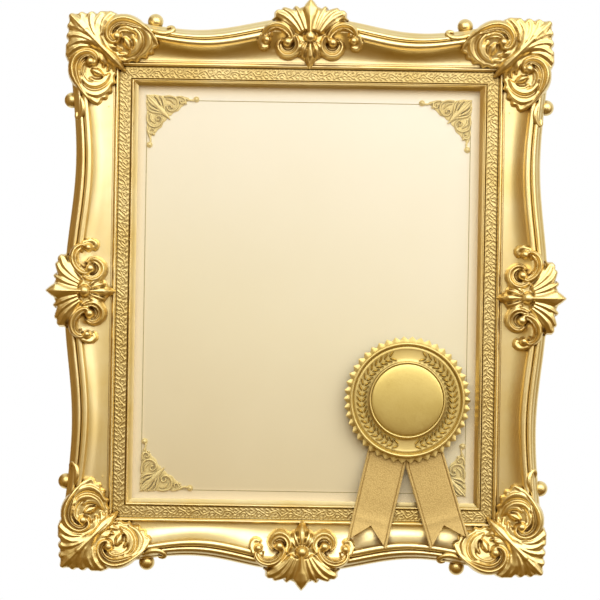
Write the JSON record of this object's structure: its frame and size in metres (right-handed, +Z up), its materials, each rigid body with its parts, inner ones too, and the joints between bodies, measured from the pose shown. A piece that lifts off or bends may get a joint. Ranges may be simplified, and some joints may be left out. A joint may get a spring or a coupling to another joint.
{
  "type": "certificate frame",
  "caption": "Gilded swept frame with scrolled corners and crests around a blank certificate, with an award rosette and ribbons, hung on ring hangers.",
  "frame": {"origin": "middle of the certificate, on the wall plane that the bumpers touch", "axes": "+Z up, +X to the right as seen from the front, +Y into the wall; the front faces -Y"},
  "size_m": [0.37, 0.0356, 0.4208],
  "materials": {
    "gilded_wood": "burnished gold leaf on a gessoed moulding",
    "gilded_frieze": "gilded pressed strip",
    "gilded_cast_ornament": "burnished gold leaf on cast composition",
    "gilt_filigree": "satin gilt relief",
    "hardboard": "smooth brown board",
    "mount_board": "matt board",
    "certificate_paper": "cream laid paper, blank",
    "clear_glazing": "clear anti-reflection pane",
    "spacer_plastic": "cream strip",
    "foam_pad": "adhesive foam",
    "rosette_metal": "satin stamped foil",
    "ribbon_cloth": "grained gold ribbon",
    "zinc_steel": "zinc plated",
    "bumper_rubber": "soft black bumper"
  },
  "bodies": {
    "frame": {"rail_top": "gilded_wood", "frieze_top": "gilded_frieze", "crest_top": "gilded_cast_ornament", "rail_right": "gilded_wood", "frieze_right": "gilded_frieze", "crest_right": "gilded_cast_ornament", "rail_bottom": "gilded_wood", "frieze_bottom": "gilded_frieze", "crest_bottom": "gilded_cast_ornament", "rail_left": "gilded_wood", "frieze_left": "gilded_frieze", "crest_left": "gilded_cast_ornament", "corner_ornament_top_left": "gilded_cast_ornament", "certificate_corner_top_left": "gilt_filigree", "corner_ornament_top_right": "gilded_cast_ornament", "certificate_corner_top_right": "gilt_filigree", "corner_ornament_bottom_right": "gilded_cast_ornament", "certificate_corner_bottom_right": "gilt_filigree", "corner_ornament_bottom_left": "gilded_cast_ornament", "certificate_corner_bottom_left": "gilt_filigree", "edge_pearls": "gilded_cast_ornament", "backing_panel": "hardboard", "mount_board": "mount_board", "certificate": "certificate_paper", "glazing": "clear_glazing", "glazing_spacers": "spacer_plastic", "rosette_pad": "foam_pad", "rosette_card": "mount_board", "rosette_ruffle": "rosette_metal", "rosette_medal": "rosette_metal", "rosette_disc": "rosette_metal", "laurel_wreath": "rosette_metal", "ribbon_left": "ribbon_cloth", "ribbon_right": "ribbon_cloth", "corner_nails": "zinc_steel", "bumpers": "bumper_rubber", "turn_button_screws": "zinc_steel", "hanger_screws": "zinc_steel", "hanger_strap_left": "zinc_steel", "hanger_strap_right": "zinc_steel"},
    "button_1": {"turn_button_1": "zinc_steel"},
    "button_2": {"turn_button_2": "zinc_steel"},
    "button_3": {"turn_button_3": "zinc_steel"},
    "button_4": {"turn_button_4": "zinc_steel"},
    "button_5": {"turn_button_5": "zinc_steel"},
    "button_6": {"turn_button_6": "zinc_steel"},
    "ring_left": {"hanger_ring_left": "zinc_steel"},
    "ring_right": {"hanger_ring_right": "zinc_steel"}
  },
  "joints": [
    {"name": "button_1_turn", "type": "hinge", "parent": "frame", "child": "button_1", "pos_m": [0, -0.006, 0.1604], "axis": [0, 1, 0], "continuous": true},
    {"name": "button_2_turn", "type": "hinge", "parent": "frame", "child": "button_2", "pos_m": [0.135, -0.006, 0.105], "axis": [0, 1, 0], "continuous": true},
    {"name": "button_3_turn", "type": "hinge", "parent": "frame", "child": "button_3", "pos_m": [0.135, -0.006, -0.105], "axis": [0, 1, 0], "continuous": true},
    {"name": "button_4_turn", "type": "hinge", "parent": "frame", "child": "button_4", "pos_m": [0, -0.006, -0.1604], "axis": [0, 1, 0], "continuous": true},
    {"name": "button_5_turn", "type": "hinge", "parent": "frame", "child": "button_5", "pos_m": [-0.135, -0.006, -0.105], "axis": [0, 1, 0], "continuous": true},
    {"name": "button_6_turn", "type": "hinge", "parent": "frame", "child": "button_6", "pos_m": [-0.135, -0.006, 0.105], "axis": [0, 1, 0], "continuous": true},
    {"name": "ring_left_swing", "type": "hinge", "parent": "frame", "child": "ring_left", "pos_m": [-0.147, -0.0032, 0.056], "axis": [-1, 0, 0], "range_deg": [0, 170]},
    {"name": "ring_right_swing", "type": "hinge", "parent": "frame", "child": "ring_right", "pos_m": [0.147, -0.0032, 0.056], "axis": [-1, 0, 0], "range_deg": [0, 170]}
  ]
}
